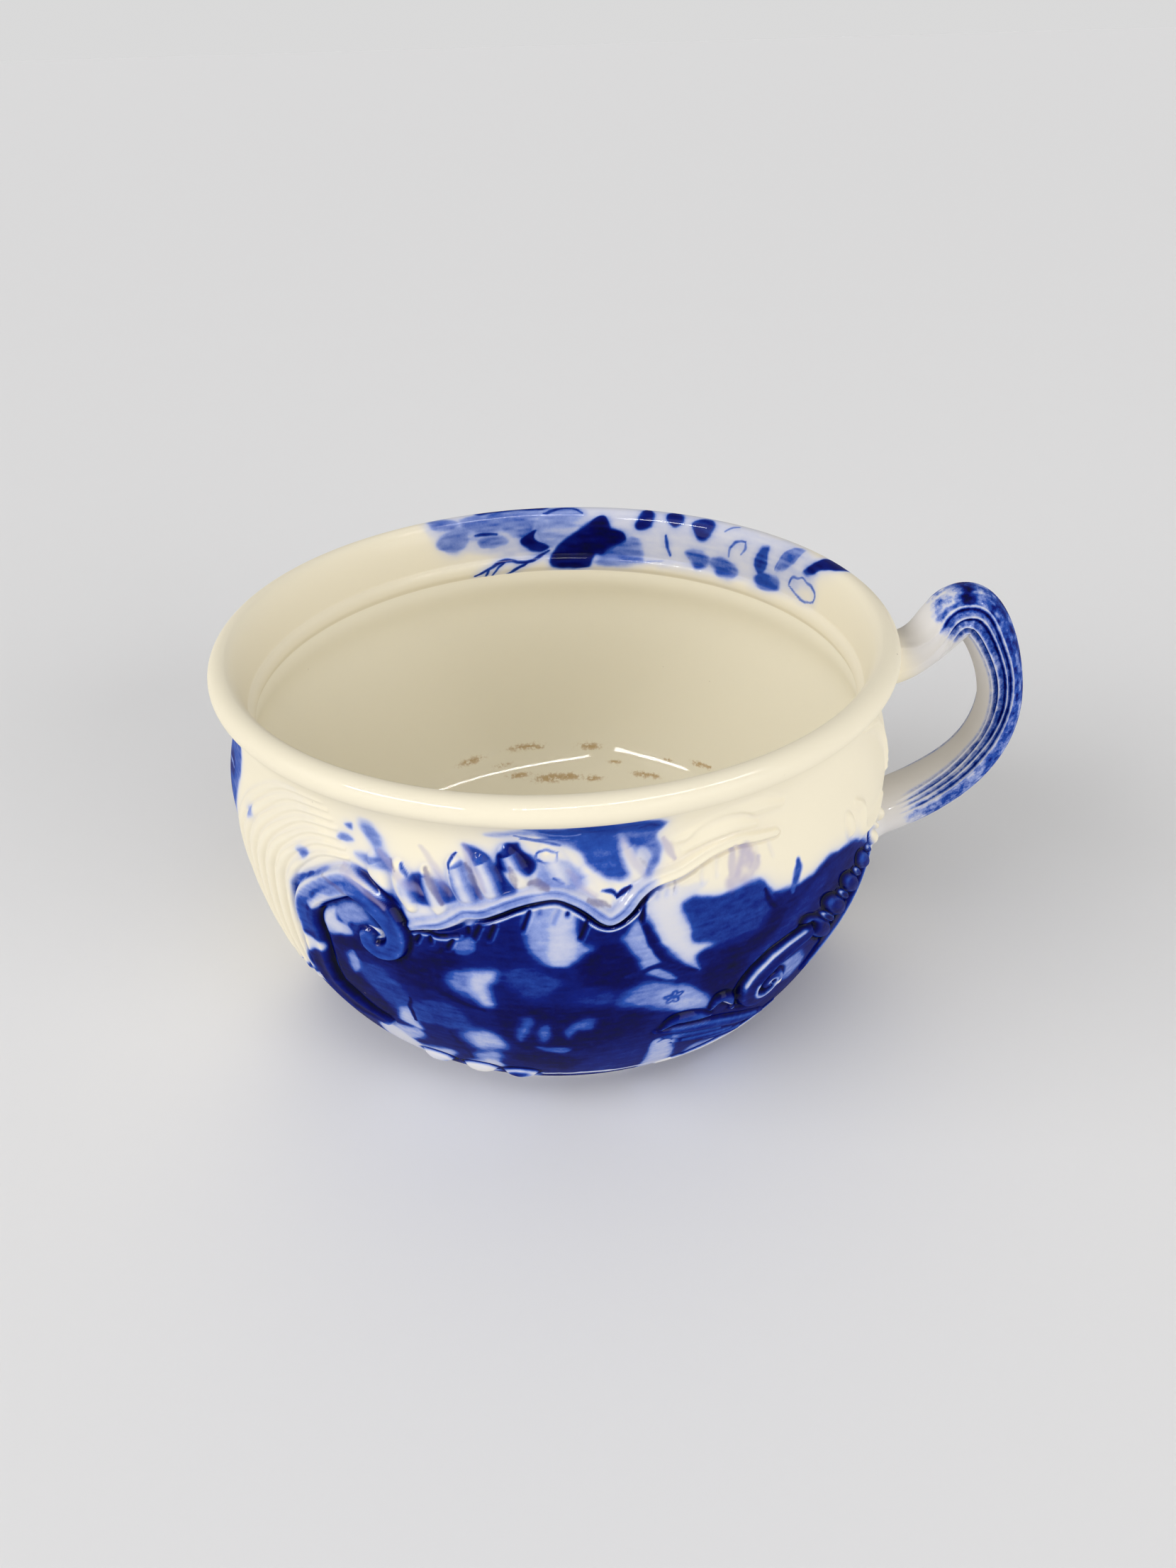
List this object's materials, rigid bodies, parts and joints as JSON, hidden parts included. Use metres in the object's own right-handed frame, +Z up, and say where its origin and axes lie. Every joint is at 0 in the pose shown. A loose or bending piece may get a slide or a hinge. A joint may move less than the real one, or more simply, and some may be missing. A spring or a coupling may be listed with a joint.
{
  "type": "chamber pot",
  "caption": "Open moulded earthenware chamber pot with a rolled lip, a ribbed loop handle, raised scrolls on the belly and a blue floral glaze print",
  "frame": {"origin": "centre of the foot's resting plane, on the axis of the bowl", "axes": "+Z up along the bowl's axis, +X out through the handle, -Y towards the side that the picture shows"},
  "size_m": [0.279, 0.2316, 0.14],
  "materials": {
    "cream_glaze": "glossy cream lead glaze",
    "blue_glaze": "glossy glaze over blurred cobalt print"
  },
  "bodies": {
    "root": {"wall": "cream_glaze", "base": "cream_glaze", "seam_roll": "cream_glaze", "handle": "blue_glaze", "upper_slip": "cream_glaze", "lower_slip": "cream_glaze", "volute_scrolls": "blue_glaze", "ribbon_borders": "blue_glaze", "handle_scrolls": "blue_glaze", "bead_chains": "blue_glaze", "acanthus_leaves": "blue_glaze", "foot_beads": "cream_glaze", "shell_flutes": "cream_glaze", "neck_gadroons": "cream_glaze", "handle_curls": "cream_glaze"}
  },
  "joints": []
}
